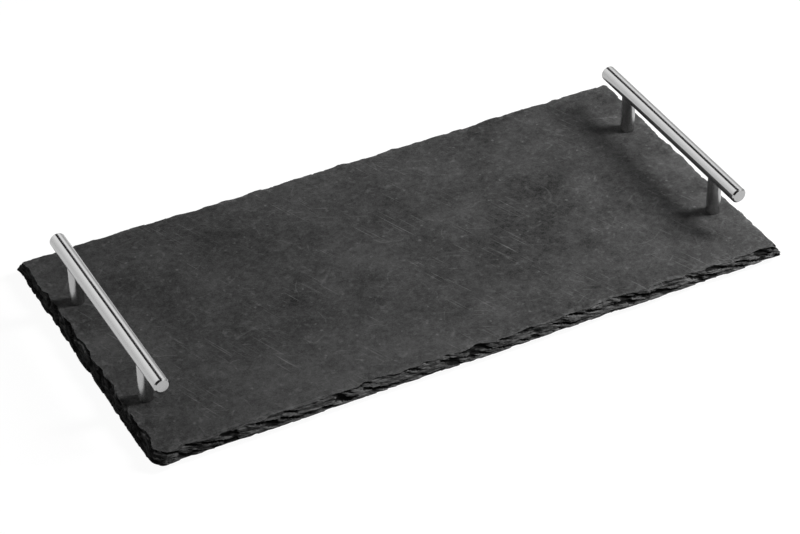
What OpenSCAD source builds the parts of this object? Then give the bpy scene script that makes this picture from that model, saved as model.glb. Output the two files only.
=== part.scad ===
// Slate serving board with two bar handles.
// X runs along the board, Y runs from the front edge to the rear edge, and Z is up.
// The origin lies on the table, under the middle of the board.

/* [Slate board] */
// Length of the slate, measured at its underside
board_length = 400; // [320:5:500]
// Width of the slate, measured at its underside
board_width = 198; // [176:2:300]
// Thickness of the slate
board_thickness = 6; // [5:0.5:9]
// Mean width of the stepped slope that knapping leaves round the top face
bevel_width = 3; // [2:0.25:4.5]
// Depth of the deepest flake bites into the top face
bite_depth = 3.4; // [1:0.2:4]
// Mean length of one flake scar along an edge
flake_length = 15; // [12:1:30]
// Depth of the slow waves in the underside's outline
edge_wave = 0.7; // [0:0.1:1]
// Height that each flat face falls away towards the knapped edge, within its rim
rim_drop = 0.15; // [0.05:0.05:0.5]
// Radius of the front left corner, which has been chipped round
chipped_corner_radius = 8; // [4:0.5:10]
// Radius of the other three corners
corner_radius = 2.5; // [2:0.25:4]

/* [Handles] */
// Distance between the centres of a handle's two posts
post_spacing = 96; // [64:1:110]
// Height of a bar's centre line above the slate's top face
bar_height = 27; // [25:0.5:35]
// Length of a bar over its end caps
bar_length = 147; // [136:1:165]
// Outside diameter of a bar
bar_diameter = 9.5; // [8.5:0.25:12]
// Wall thickness of a bar's tube
bar_wall = 1.2; // [0.8:0.1:1.5]
// Diameter of a post
post_diameter = 8.5; // [7:0.25:9.5]
// Distance from the board's short edge to a handle's centre line
handle_inset = 17.3; // [15:0.1:40]
// How far the handles sit in front of the board's middle
handle_offset = 1.4; // [0:0.1:3]

/* [End caps] */
// Thickness of the disc that closes a tube's end
cap_thickness = 1.6; // [1.2:0.1:3]
// Chamfer round an end cap's outer face
cap_chamfer = 1; // [0.2:0.1:1]
// Depth of a cap's spigot inside the tube
spigot_depth = 5; // [3:0.5:8]

/* [Fixings] */
// Thread diameter of the fixing screws
screw_diameter = 4; // [3:0.5:4.5]
// Head diameter of the fixing screws
screw_head_diameter = 9; // [8:0.5:10]
// Head height of the fixing screws
screw_head_height = 2.2; // [1.6:0.1:2.4]
// Depth that a fixing screw reaches into its post
screw_grip = 9; // [6:0.5:10]
// Outside diameter of the washers
washer_diameter = 11; // [10:0.5:14]
// Thickness of the washers
washer_thickness = 0.8; // [0.5:0.1:1]
// Thread diameter of the studs that join the posts to the tubes
stud_diameter = 4; // [3:0.5:5]
// Depth that a stud reaches into its post
stud_grip = 6; // [4:0.5:7]
// Length of a stud inside the tube, past the tube's outer face
stud_reach = 4; // [2.5:0.25:5]

/* [Feet] */
// Height of a rubber foot
foot_height = 4; // [3.8:0.1:6]
// Diameter of a foot where it is glued to the slate
foot_diameter = 14; // [10:0.5:18]
// Diameter of a foot's flat sole
sole_diameter = 10.5; // [8:0.5:14]
// Distance from the slate's edges to a foot's centre
foot_inset = 24; // [20:1:30]

/* [Hidden] */
side_names = ["left", "right"];
end_names = ["rear", "front"];
place_names = [for (side = side_names) for (end = end_names) str(side, "_", end)];
place_parts = ["_end_cap", "_post", "_post_stud", "_fixing_screw", "_washer", "_foot"];

// Clearances and the overrun of every cut
thread_clearance = 0.05;
hole_clearance = 0.3;
spigot_clearance = 0.05;
bore_tip_room = 1.5;
overrun = 1;
round_fn = 64;
turn = 360;
half_turn = turn / 2;
quarter = turn / 4;

// Heights above the table
slate_underside = foot_height;
slate_top = slate_underside + board_thickness;
bar_axis = slate_top + bar_height;
bar_underside = bar_axis - bar_diameter / 2;

// Places seen from above: a handle's centre line, a post's centre and a foot's centre
side_signs = [-1, 1];
end_signs = [1, -1];
handle_x = board_length / 2 - handle_inset;
foot_x = board_length / 2 - foot_inset;
foot_y = board_width / 2 - foot_inset;
function post_y(end) = end_signs[end] * post_spacing / 2 - handle_offset;

// Knapped edge: the outline is walked anticlockwise from the front left corner, one side
// after another, and each point of it carries a column of rings from the underside up.
side_normals = [[0, -1], [1, 0], [0, 1], [-1, 0]];
corner_signs = [[-1, -1], [1, -1], [1, 1], [-1, 1]];
corner_radii = [chipped_corner_radius, corner_radius, corner_radius, corner_radius];
side_lengths = [board_length, board_width, board_length, board_width];
points_per_flake = 4;
arc_steps = 4;
corner_blend = flake_length * 0.6;

// Rings of one column as shares: the height in the slate, and the part of the bevel that
// every ring has cut off. Two rings lie on each split layer, one at either end of its tread.
height_shares = [0, 0.17, 0.2, 0.46, 0.5, 0.77, 0.81, 1];
inset_shares = [0, 0.1, 0.13, 0.27, 0.3, 0.5, 0.54, 0.7];
layer_of_ring = [0, 1, 1, 2, 2, 3, 3, 4];
treads_under_ring = [0, 0, 1, 1, 2, 2, 3, 3];
layer_wander_shares = [0, 0.09, 0.1, 0.08, 0];
wander_counts = [0, 7, 9, 6, 0];
tread_bite_shares = [0, 0.42, 0.46, 0.5];
common_bite_share = 0.42;
bare_share = 0.42;
scar_depth_shares = [0.35, 0.65];
scar_reach_shares = [0.45, 1.25];
scar_size_shares = [0.55, 0.75];
wave_counts = [3, 7];
wave_shares = [0.6, 0.4];
corner_bite_share = 0.12;
corner_chip_share = 0.16;

// The rim of a flat face starts just inside the deepest bite, and its straight inner edge has
// one point for every fourth column
rim_stride = 4;
rim_margin = 0.5;
deepest_bite = edge_wave + bite_depth * (tread_bite_shares[1] + tread_bite_shares[2] + tread_bite_shares[3]);
rim_width = bevel_width * inset_shares[len(inset_shares) - 1] + deepest_bite + rim_margin;

// A repeatable scatter: a share from 0 to 1 for item i of a series
scatter_item = 127.1;
scatter_series = 311.7;
scatter_gain = 43758.5453;
function scatter(i, series) =
    let (v = sin(i * scatter_item + series * scatter_series) * scatter_gain) v - floor(v);

// Depth share of one flake scar at distance s along its side: steep at its start, long at its end
function scar(s, centre, size) =
    let (q = (s - centre) / size)
    let (reach = q < 0 ? scar_reach_shares[0] : scar_reach_shares[1])
    max(0, 1 - pow(q / reach, 2));

// The deepest scar of a series at distance s along side i
function flakes(i, s, series) =
    let (count = round(side_lengths[i] / flake_length))
    let (pitch = side_lengths[i] / count)
    max([for (j = [0:count])
        let (centre = (j + scatter(j, series) - 0.5) * pitch)
        let (size = pitch * (scar_size_shares[0] + scar_size_shares[1] * scatter(j, series + 1)))
        let (depth = scar_depth_shares[0] + scar_depth_shares[1] * scatter(j, series + 2))
        depth * scar(s, centre, size)]);

// 0 at a side's ends and 1 away from them, so that each side runs smoothly into its corners
function away_from_corner(i, s) =
    let (t = min(1, min(s, side_lengths[i] - s) / corner_blend))
    t * t * (3 - 2 * t);

// Slow waves of the underside's outline, which touch the full length and width in mid side
function wave(i, u) =
    edge_wave * (wave_shares[0] * pow(sin(half_turn * wave_counts[0] * (u - 0.5)), 2)
    + wave_shares[1] * pow(sin(half_turn * wave_counts[1] * (u - 0.5)), 2));

function series_of(i, tread) = 10 * i + 3 * tread;

// Keeps only the deeper scars of a layer, so that its tread comes and goes along the edge
function sparse(depth) = max(0, depth - bare_share) / (1 - bare_share);

// How far a ring stands in from the rectangle of its level, at share u of side i
function bite(i, u, ring) =
    let (s = u * side_lengths[i])
    let (open = away_from_corner(i, s))
    let (common = flakes(i, s, series_of(i, 0)))
    let (steps = [for (t = [1:3]) t <= treads_under_ring[ring]
        ? tread_bite_shares[t] * (common_bite_share * common
            + (1 - common_bite_share) * sparse(flakes(i, s, series_of(i, t))))
        : 0])
    let (total = steps[0] + steps[1] + steps[2])
    open * (wave(i, u) + bite_depth * total)
        + (1 - open) * corner_bite_share * corner_radius * treads_under_ring[ring];

// The chips that a ring has lost at share t of the corner after side i, in all its treads
function corner_chips(i, t, ring) =
    let (steps = [for (k = [1:3]) k <= treads_under_ring[ring]
        ? scatter(k, series_of(i, k)) * pow(sin(half_turn * t), 2)
        : 0])
    corner_chip_share * corner_radii[(i + 1) % 4] * (steps[0] + steps[1] + steps[2]);

// Height of a ring: the layers wander up and down a little along the edge
function ring_height(i, u, ring) =
    let (layer = layer_of_ring[ring])
    let (swing = sin(turn * wander_counts[layer] * u + quarter * (i + layer)))
    let (open = away_from_corner(i, u * side_lengths[i]))
    let (share = height_shares[ring] + open * layer_wander_shares[layer] * swing)
    rim_drop + (board_thickness - 2 * rim_drop) * share;

function corner_centre(c, inset) =
    [corner_signs[c][0] * (board_length / 2 - inset - corner_radii[c]),
     corner_signs[c][1] * (board_width / 2 - inset - corner_radii[c])];

function side_point(i, u, ring) =
    let (inset = bevel_width * inset_shares[ring])
    let (next = (i + 1) % 4)
    let (from = corner_centre(i, inset) + corner_radii[i] * side_normals[i])
    let (to = corner_centre(next, inset) + corner_radii[next] * side_normals[i])
    let (p = from + (to - from) * u - bite(i, u, ring) * side_normals[i])
    [p[0], p[1], slate_underside + ring_height(i, u, ring)];

function corner_point(i, t, ring) =
    let (next = (i + 1) % 4)
    let (angle = quarter * (i - 1 + t))
    let (radius = corner_radii[next] - bite(i, 1, ring) - corner_chips(i, t, ring))
    let (p = corner_centre(next, bevel_width * inset_shares[ring]) + radius * [cos(angle), sin(angle)])
    [p[0], p[1], slate_underside + ring_height(i, 1, ring)];

side_counts = [for (i = [0:3]) 2 * round(side_lengths[i] / flake_length * points_per_flake / 2)];
function ring_points(ring) = [for (i = [0:3]) each concat(
    [for (j = [0:side_counts[i]]) side_point(i, j / side_counts[i], ring)],
    [for (m = [1:arc_steps - 1]) corner_point(i, m / arc_steps, ring)])];

// The straight outline at the inner edge of a face's rim, with one point for every column
straight_outline = [for (i = [0:3])
    let (next = (i + 1) % 4)
    let (from = corner_centre(i, rim_width) + corner_radii[i] * side_normals[i])
    let (to = corner_centre(next, rim_width) + corner_radii[next] * side_normals[i])
    each concat(
        [for (j = [0:side_counts[i]]) from + (to - from) * j / side_counts[i]],
        [for (m = [1:arc_steps - 1])
            let (angle = quarter * (i - 1 + m / arc_steps))
            corner_centre(next, rim_width) + corner_radii[next] * [cos(angle), sin(angle)]])];
function rim_points(z) = [for (k = [0:rim_stride:len(straight_outline) - 1])
    [straight_outline[k][0], straight_outline[k][1], z]];

module knapped_slab() {
    rings = [for (ring = [0:len(height_shares) - 1]) ring_points(ring)];
    n = len(rings[0]);
    m = n / rim_stride;
    top = (len(rings) - 1) * n;
    low_rim = top + n;
    high_rim = low_rim + m;
    walls = [for (ring = [0:n:top - n]) for (i = [0:n - 1])
        let (a = ring + i)
        let (b = ring + (i + 1) % n)
        each [[a, a + n, b + n], [a, b + n, b]]];
    rims = [for (i = [0:n - 1])
        let (next = (i + 1) % n)
        let (a = floor(i / rim_stride + 0.5) % m)
        let (b = floor((i + 1) / rim_stride + 0.5) % m)
        each concat(
            [[low_rim + a, i, next], [top + i, high_rim + a, top + next]],
            a == b ? [] : [[low_rim + a, next, low_rim + b], [top + next, high_rim + a, high_rim + b]])];
    low_centre = high_rim + m;
    high_centre = low_centre + 1;
    flats = [for (k = [0:m - 1])
        let (next = (k + 1) % m)
        each [[low_centre, low_rim + k, low_rim + next], [high_centre, high_rim + next, high_rim + k]]];
    polyhedron(
        points = concat([for (r = rings) each r], rim_points(slate_underside), rim_points(slate_top),
            [[0, 0, slate_underside], [0, 0, slate_top]]),
        faces = concat(walls, rims, flats));
}

// Places a child at a post of a handle, with its own origin at the height z
module at_post(side, end, z) {
    translate([side_signs[side] * handle_x, post_y(end), z])
        children();
}

module slate_board() {
    color("darkslategray")
        difference() {
            knapped_slab();
            for (side = [0, 1])
                for (end = [0, 1])
                    at_post(side, end, slate_underside - overrun)
                        cylinder(d = screw_diameter + 2 * hole_clearance,
                            h = board_thickness + 2 * overrun, $fn = round_fn);
        }
}

// A bar's tube, closed at both ends by its caps and tapped below for two studs
module bar_tube(side) {
    tube_length = bar_length - 2 * cap_thickness;
    color("silver")
        difference() {
            translate([side_signs[side] * handle_x, tube_length / 2 - handle_offset, bar_axis])
                rotate([quarter, 0, 0])
                    difference() {
                        cylinder(d = bar_diameter, h = tube_length, $fn = round_fn);
                        translate([0, 0, -overrun])
                            cylinder(d = bar_diameter - 2 * bar_wall, h = tube_length + 2 * overrun,
                                $fn = round_fn);
                    }
            for (end = [0, 1])
                at_post(side, end, bar_underside - overrun)
                    cylinder(d = stud_diameter + 2 * thread_clearance,
                        h = bar_diameter / 2 + overrun, $fn = round_fn);
        }
}

// An end cap is turned in one piece: a chamfered disc and a spigot with a broken edge
module end_cap(side, end) {
    rim = bar_diameter / 2;
    spigot = rim - bar_wall - spigot_clearance;
    lead = cap_chamfer / 2;
    color("gainsboro")
        translate([side_signs[side] * handle_x,
            end_signs[end] * (bar_length / 2 - cap_thickness) - handle_offset, bar_axis])
            rotate([-end_signs[end] * quarter, 0, 0])
                rotate_extrude($fn = round_fn)
                    polygon([
                        [0, -spigot_depth],
                        [spigot - lead, -spigot_depth],
                        [spigot, lead - spigot_depth],
                        [spigot, 0],
                        [rim, 0],
                        [rim, cap_thickness - cap_chamfer],
                        [rim - cap_chamfer, cap_thickness],
                        [0, cap_thickness]]);
}

// A post stands flat on the slate, and its upper end is hollowed to fit under the bar
module post(side, end) {
    color("lightgray")
        difference() {
            at_post(side, end, slate_top)
                cylinder(d = post_diameter, h = bar_height, $fn = round_fn);
            translate([side_signs[side] * handle_x, post_y(end) + post_diameter, bar_axis])
                rotate([quarter, 0, 0])
                    cylinder(d = bar_diameter, h = 2 * post_diameter, $fn = round_fn);
            at_post(side, end, slate_top - overrun)
                cylinder(d = screw_diameter + 2 * thread_clearance,
                    h = screw_grip + bore_tip_room + overrun, $fn = round_fn);
            at_post(side, end, bar_underside - stud_grip)
                cylinder(d = stud_diameter + 2 * thread_clearance,
                    h = stud_grip + bar_diameter, $fn = round_fn);
        }
}

// A stud fills its bore in the post and goes through the tube's lower wall
module post_stud(side, end) {
    radius = stud_diameter / 2;
    lead = stud_diameter / 8;
    length = stud_grip + stud_reach;
    color("gray")
        at_post(side, end, bar_underside - stud_grip)
            rotate_extrude($fn = round_fn)
                polygon([
                    [0, 0],
                    [radius - lead, 0],
                    [radius, lead],
                    [radius, length - lead],
                    [radius - lead, length],
                    [0, length]]);
}

// A fixing screw comes up from below: a domed head with a cross recess, then the shank
module fixing_screw(side, end) {
    radius = screw_diameter / 2;
    head = screw_head_diameter / 2;
    lead = screw_diameter / 8;
    reach = washer_thickness + board_thickness + screw_grip;
    dome_steps = 6;
    dome_start_share = 0.35;
    dome = [for (i = [0:dome_steps])
        let (t = quarter * i / dome_steps)
        [head * sin(t), -screw_head_height * (dome_start_share + (1 - dome_start_share) * cos(t))]];
    slot_width = screw_diameter / 4;
    slot_length = screw_head_diameter * 0.5;
    slot_depth = screw_head_height * 0.6;
    color("darkgray")
        at_post(side, end, slate_underside - washer_thickness)
            difference() {
                rotate_extrude($fn = round_fn)
                    polygon(concat(dome, [
                        [head, 0],
                        [radius, 0],
                        [radius, reach - lead],
                        [radius - lead, reach],
                        [0, reach]]));
                for (angle = [0, quarter])
                    rotate([0, 0, angle])
                        translate([-slot_length / 2, -slot_width / 2, -screw_head_height - overrun])
                            cube([slot_length, slot_width, slot_depth + overrun]);
            }
}

module washer(side, end) {
    color("gainsboro")
        at_post(side, end, slate_underside - washer_thickness)
            difference() {
                cylinder(d = washer_diameter, h = washer_thickness, $fn = round_fn);
                translate([0, 0, -overrun])
                    cylinder(d = screw_diameter + hole_clearance,
                        h = washer_thickness + 2 * overrun, $fn = round_fn);
            }
}

// A foot is a low rubber button whose sole is flat inside a rounded rim
module foot(side, end) {
    wide = foot_diameter / 2;
    sole = sole_diameter / 2;
    rim_steps = 6;
    rim = [for (i = [0:rim_steps])
        let (t = quarter * i / rim_steps)
        [sole + (wide - sole) * sin(t), (wide - sole) * (1 - cos(t))]];
    color("dimgray")
        translate([side_signs[side] * foot_x, end_signs[end] * foot_y, 0])
            rotate_extrude($fn = round_fn)
                polygon(concat([[0, 0]], rim, [[wide, foot_height], [0, foot_height]]));
}

slate_board();
for (side = [0, 1]) {
    bar_tube(side);
    for (end = [0, 1]) {
        place = str(side_names[side], "_", end_names[end]);
        end_cap(side, end);
        post(side, end);
        post_stud(side, end);
        fixing_screw(side, end);
        washer(side, end);
        foot(side, end);
    }
}
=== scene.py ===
# %% [markdown]
# # A slate serving board with two bar handles
# A thin sheet of split slate carries a polished steel bar handle near each short edge. The
# slate is 400 by 198 by 6 mm, each bar's middle lies 27 mm above it on two posts, and rubber feet
# hold it clear of the screw heads below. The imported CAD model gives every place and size. The
# finished look of its 27 pieces could be modelled by hand, but a script gives the same result each
# time and follows the part when a size changes. It ends with the light and the camera.

import math

import bpy
import numpy as np
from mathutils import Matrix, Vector, kdtree
from mathutils.geometry import delaunay_2d_cdt


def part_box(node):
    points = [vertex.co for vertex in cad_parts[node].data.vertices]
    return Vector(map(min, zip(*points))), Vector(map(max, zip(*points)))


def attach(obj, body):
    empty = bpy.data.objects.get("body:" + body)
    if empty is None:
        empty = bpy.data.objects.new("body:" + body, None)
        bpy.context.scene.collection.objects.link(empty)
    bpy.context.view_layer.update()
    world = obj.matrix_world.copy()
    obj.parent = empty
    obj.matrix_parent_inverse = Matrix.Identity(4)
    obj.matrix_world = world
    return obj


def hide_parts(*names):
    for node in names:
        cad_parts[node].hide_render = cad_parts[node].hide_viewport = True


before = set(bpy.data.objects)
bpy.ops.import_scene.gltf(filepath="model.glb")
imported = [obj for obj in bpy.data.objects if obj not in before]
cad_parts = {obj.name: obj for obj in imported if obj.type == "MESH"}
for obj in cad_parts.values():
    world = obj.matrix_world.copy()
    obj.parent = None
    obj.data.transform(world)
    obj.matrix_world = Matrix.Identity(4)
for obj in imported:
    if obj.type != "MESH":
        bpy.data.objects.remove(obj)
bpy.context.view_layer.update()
MM = 0.001
SIDES = ("left", "right")
PLACES = [f"{side}_{end}" for side in SIDES for end in ("rear", "front")]

# %% [markdown]
# ## Sizes read from the frame
# Each piece has the size and place of its CAD node. Typed copies of them would go stale when the
# part changes, so they are read from the nodes' boxes. What a box can't show, such as a tube's
# wall or a bore, is written with the piece that has it.

# %% Sizes from the frame
def box_of(node):
    low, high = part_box(node)
    return np.array(low), np.array(high)


def place_of(node):
    """The middle of a node's box."""
    low, high = box_of(node)
    return (low + high) / 2


slab_low, slab_high = box_of("slate_board")
print("slate from", slab_low, "to", slab_high)

# %% [markdown]
# ## The slate's knapped edge
# A slate cutter breaks the sheet's edge with a hammer from below. The stone parts along its
# layers, so the edge slopes in steps: each layer ends in a small cliff and a narrow tread, and
# shell-shaped bites run from one layer into the next. Displacing a plain box with a texture would
# give lumps without layers. The CAD model describes the edge with eight rings from the underside
# up, and the same rule is worked out here every 0.7 mm instead of every 5 mm, so each bite becomes
# smooth and the silhouette keeps its place. The right and rear edges are knapped more gently than
# the front and left ones.

# %% Layers and treads
LENGTH, WIDTH, THICKNESS = slab_high - slab_low
BEVEL, RIM_DROP = 3 * MM, 0.15 * MM
SIDE_NORMALS = np.array([[0, -1], [1, 0], [0, 1], [-1, 0]])
CORNER_SIGNS = np.array([[-1, -1], [1, -1], [1, 1], [-1, 1]])
CORNER_RADII = np.array([8, 2.5, 2.5, 2.5]) * MM
SIDE_LENGTHS = [LENGTH, WIDTH, LENGTH, WIDTH]
HEIGHT_SHARES = [0, 0.17, 0.2, 0.46, 0.5, 0.77, 0.81, 1]
INSET_SHARES = [0, 0.1, 0.13, 0.27, 0.3, 0.5, 0.54, 0.7]
LAYER_OF_RING = [0, 1, 1, 2, 2, 3, 3, 4]
TREADS_UNDER_RING = [0, 0, 1, 1, 2, 2, 3, 3]
print("slab:", [round(float(size) / MM, 2) for size in (LENGTH, WIDTH, THICKNESS)], "mm")

# %% [markdown]
# ## Numbers that look random
# No two flakes are alike. Python's random numbers would differ from those of the CAD model, so
# `scatter` works out the same ones as the model does, from a flake's number and its row's.

# %% Scattered numbers
def scatter(item, series):
    """A number from 0 to 1 that looks random, the same one that the CAD model draws."""
    value = math.sin(math.radians(item * 127.1 + series * 311.7)) * 43758.5453
    return value - math.floor(value)


print("first scattered numbers:", [round(scatter(item, 0), 3) for item in range(4)])

# %% [markdown]
# ## Shell-shaped bites
# A hammer blow lifts a shell of stone, steep on one side, long and shallow on the other. Sculpted
# shells couldn't be repeated at another size, so rows of parabolas with scattered places, sizes
# and depths stand for them.

# %% Flakes
FLAKE = 15 * MM
LEAST_SIZE, SIZE_RANGE = 0.55, 0.75
LEAST_DEPTH, DEPTH_RANGE = 0.35, 0.65
STEEP_REACH, LONG_REACH = 0.45, 1.25


def flakes(side, s, series):
    """How deep one row of flakes is at the distances s along a side, from 0 to 1."""
    count = round(SIDE_LENGTHS[side] / FLAKE)
    pitch = SIDE_LENGTHS[side] / count
    deepest = np.zeros_like(s)
    for j in range(count + 1):
        centre = (j + scatter(j, series) - 0.5) * pitch
        size = pitch * (LEAST_SIZE + SIZE_RANGE * scatter(j, series + 1))
        depth = LEAST_DEPTH + DEPTH_RANGE * scatter(j, series + 2)
        q = (s - centre) / size
        reach = np.where(q < 0, STEEP_REACH, LONG_REACH)
        deepest = np.maximum(deepest, depth * np.maximum(0, 1 - (q / reach) ** 2))
    return deepest


front_row = flakes(0, np.linspace(0, float(LENGTH), 500), 0)
print("flakes cover", round(float((front_row > 0).mean()) * 100), "percent of the front edge")

# %% [markdown]
# ## Where the bites fade
# Near a corner the cutter strikes lightly, since a full blow would break the corner off, and along
# a side the hand wavers. Another random number for each point would make the edge fuzzy, so both
# are smooth functions of the way along the side.

# %% Fading and waving
CORNER_REACH = 0.6
WAVE, WAVES = 0.7 * MM, [(0.6, 3), (0.4, 7)]


def away_from_corner(side, s):
    """A share that rises from 0 at a corner to 1 where the bites are whole."""
    t = np.minimum(1, np.minimum(s, SIDE_LENGTHS[side] - s) / (CORNER_REACH * FLAKE))
    return t * t * (3 - 2 * t)


def wave(u):
    """How far the edge waves inwards at the shares u of its side's length."""
    return WAVE * sum(share * np.sin(np.pi * count * (u - 0.5)) ** 2 for share, count in WAVES)


print("bites are whole from", round(CORNER_REACH * FLAKE / MM, 1), "mm off a corner")

# %% [markdown]
# ## How deep each layer is bitten
# One row of flakes is common to all layers, because one blow breaks several of them, and each
# layer has a row of its own. With a common row alone, all layers would be bitten alike, and
# without one they would look unrelated. `bite` adds both up for every tread below a ring.

# %% Bites
BITE = 3.4 * MM
SIDE_SHARES = [1, 0.45, 0.55, 1]
TREAD_BITES = [0, 0.42, 0.46, 0.5]
COMMON_BITE, BARE, CORNER_BITE = 0.42, 0.42, 0.12


def bite(side, u, row):
    """How far ring `row` lies inside its side at the shares u of the side's length."""
    s = u * SIDE_LENGTHS[side]
    away = away_from_corner(side, s)
    common = flakes(side, s, 10 * side)
    total = 0
    for tread in range(1, TREADS_UNDER_RING[row] + 1):
        own = np.maximum(0, flakes(side, s, 10 * side + 3 * tread) - BARE) / (1 - BARE)
        total = total + TREAD_BITES[tread] * (COMMON_BITE * common + (1 - COMMON_BITE) * own)
    near_corner = CORNER_BITE * CORNER_RADII[1] * TREADS_UNDER_RING[row]
    return away * (wave(u) + SIDE_SHARES[side] * BITE * total) + (1 - away) * near_corner


print("deepest bite at the front:", round(bite(0, np.linspace(0, 1, 500), 7).max() / MM, 2), "mm")

# %% [markdown]
# ## Layers that wander
# No layer of slate is quite level, so the lines on the edge rise and sink a little along each
# side. Noise could do this too, but the CAD model uses sine waves, and the same waves keep the
# finished edge on the CAD solid.

# %% Heights and corners
WANDER_SHARES = [0, 0.09, 0.1, 0.08, 0]
WANDER_COUNTS = [0, 7, 9, 6, 0]


def row_height(side, u, row):
    """The height of ring `row` at the shares u of a side's length."""
    layer = LAYER_OF_RING[row]
    swing = np.sin(2 * np.pi * WANDER_COUNTS[layer] * u + np.pi / 2 * (side + layer))
    away = away_from_corner(side, u * SIDE_LENGTHS[side])
    share = HEIGHT_SHARES[row] + away * WANDER_SHARES[layer] * swing
    return slab_low[2] + RIM_DROP + (THICKNESS - 2 * RIM_DROP) * share


def corner_centre(corner, inset):
    """The middle of a rounded corner's arc, for a ring that lies this far inside."""
    half = np.array([LENGTH, WIDTH]) / 2
    return CORNER_SIGNS[corner] * (half - inset - CORNER_RADII[corner])


print("front left corner's centre:", [round(float(x), 3) for x in corner_centre(0, 0)])

# %% [markdown]
# ## Rings round the slab
# A ring runs once round the slab on one layer: four sides that the bites eat into, and four
# corners that are chipped in their middle. A Boolean cut could take the bites out of a block, but
# a grid of rings is easier to tear later, because every point keeps its row and column.

# %% A ring round the slab
COLUMN_PITCH, ARC_STEPS, CORNER_CHIP = 0.7 * MM, 14, 0.16


def outline(row):
    """Points of one ring, anticlockwise from the front left corner."""
    out = []
    inset = BEVEL * INSET_SHARES[row]
    for side in range(4):
        following = (side + 1) % 4
        normal = SIDE_NORMALS[side]
        start = corner_centre(side, inset) + CORNER_RADII[side] * normal
        end = corner_centre(following, inset) + CORNER_RADII[following] * normal
        u = np.linspace(0, 1, round(SIDE_LENGTHS[side] / COLUMN_PITCH) + 1)
        flat = start + (end - start) * u[:, None] - bite(side, u, row)[:, None] * normal
        out.append(np.column_stack([flat, row_height(side, u, row)]))
        t = np.arange(1, ARC_STEPS) / ARC_STEPS
        angle = np.pi / 2 * (side - 1 + t)
        one = np.array([1.0])
        chips = sum(scatter(k, 10 * side + 3 * k) for k in range(1, TREADS_UNDER_RING[row] + 1))
        lost = CORNER_CHIP * CORNER_RADII[following] * chips * np.sin(np.pi * t) ** 2
        radius = CORNER_RADII[following] - bite(side, one, row) - lost
        spokes = np.column_stack([np.cos(angle), np.sin(angle)])
        arc = corner_centre(following, inset) + radius[:, None] * spokes
        out.append(np.column_stack([arc, np.full(len(t), row_height(side, one, row)[0])]))
    return np.concatenate(out)


print("points in the lowest ring:", len(outline(0)))

# %% [markdown]
# ## Rows of the edge
# Eight rings give the layers' cliffs and treads, and the tearing later needs more points between
# them to move. A Subdivision Surface modifier would add them too, but it would round the cliffs
# off, so straight rows fill the space instead.

# %% The edge's rows
ROWS_BETWEEN = [4, 3, 6, 3, 6, 3, 5]
rings_of_edge = [outline(row) for row in range(len(HEIGHT_SHARES))]
edge_rows = []
for lower, upper, count in zip(rings_of_edge, rings_of_edge[1:], ROWS_BETWEEN):
    edge_rows += [lower + (upper - lower) * k / count for k in range(count)]
edge_rows.append(rings_of_edge[-1])
columns = len(edge_rows[0])
print("edge:", len(edge_rows), "rows of", columns, "columns")

# %% [markdown]
# ## The nearest point of the rim
# How a point of a flat face may move depends on how far the rim is. Measuring to each of the rim's
# points in turn would be slow, so a search tree finds the nearest one.

# %% A search tree
def tree_of(points):
    """A search tree that finds the nearest of the points, seen from above."""
    tree = kdtree.KDTree(len(points))
    for i, p in enumerate(points):
        tree.insert((p[0], p[1], 0), i)
    tree.balance()
    return tree


print("points on the top rim:", len(edge_rows[-1]))

# %% [markdown]
# ## Points on a flat face
# Split stone isn't flat like glass, so each face needs inner points that can dip. An even grid
# with every second row shifted gives neat triangles. It leaves out the four screw holes and a
# strip along the jagged rim.

# %% Inner points
HOLE_RADIUS, HOLE_POINTS, HOLE_GAP_SHARE = 2.3 * MM, 24, 0.4
EDGE_GAP, ROW_SHARE = 2.6 * MM, 0.87
hole_centres = [place_of(f"{place}_post")[:2] for place in PLACES]
hole_turn = np.arange(HOLE_POINTS) * 2 * np.pi / HOLE_POINTS


def inner_points(tree, pitch):
    """The holes' points, then the grid's, given a search tree of the rim."""
    x = np.arange(-LENGTH / 2, LENGTH / 2, pitch)
    y = np.arange(-WIDTH / 2, WIDTH / 2, pitch * ROW_SHARE)
    grid = [(a + (j % 2) * pitch / 2, b) for j, b in enumerate(y) for a in x]
    spokes = [np.array([math.cos(t), math.sin(t)]) for t in hole_turn]
    inner = [c + HOLE_RADIUS * spoke for c in hole_centres for spoke in spokes]
    for p in grid:
        clear = min(math.dist(p, c) for c in hole_centres) > HOLE_RADIUS + HOLE_GAP_SHARE * pitch
        if clear and tree.find((p[0], p[1], 0))[2] > EDGE_GAP:
            inner.append(np.array(p))
    return inner


print("holes at", [[round(float(x), 3) for x in c] for c in hole_centres])

# %% [markdown]
# ## Filling the flat faces
# A face has a jagged outline and four round holes. One face with thousands of corners would shade
# badly, so a constrained Delaunay triangulation fills it: its triangles meet the outline and the
# holes exactly. Towards the rim the face falls by 0.15 mm, as the CAD model's does.

# %% Filling an outline
RIM_FALL, INSIDE_HOLE, SAME_POINT = 5 * MM, 0.99, 1e-9


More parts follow.
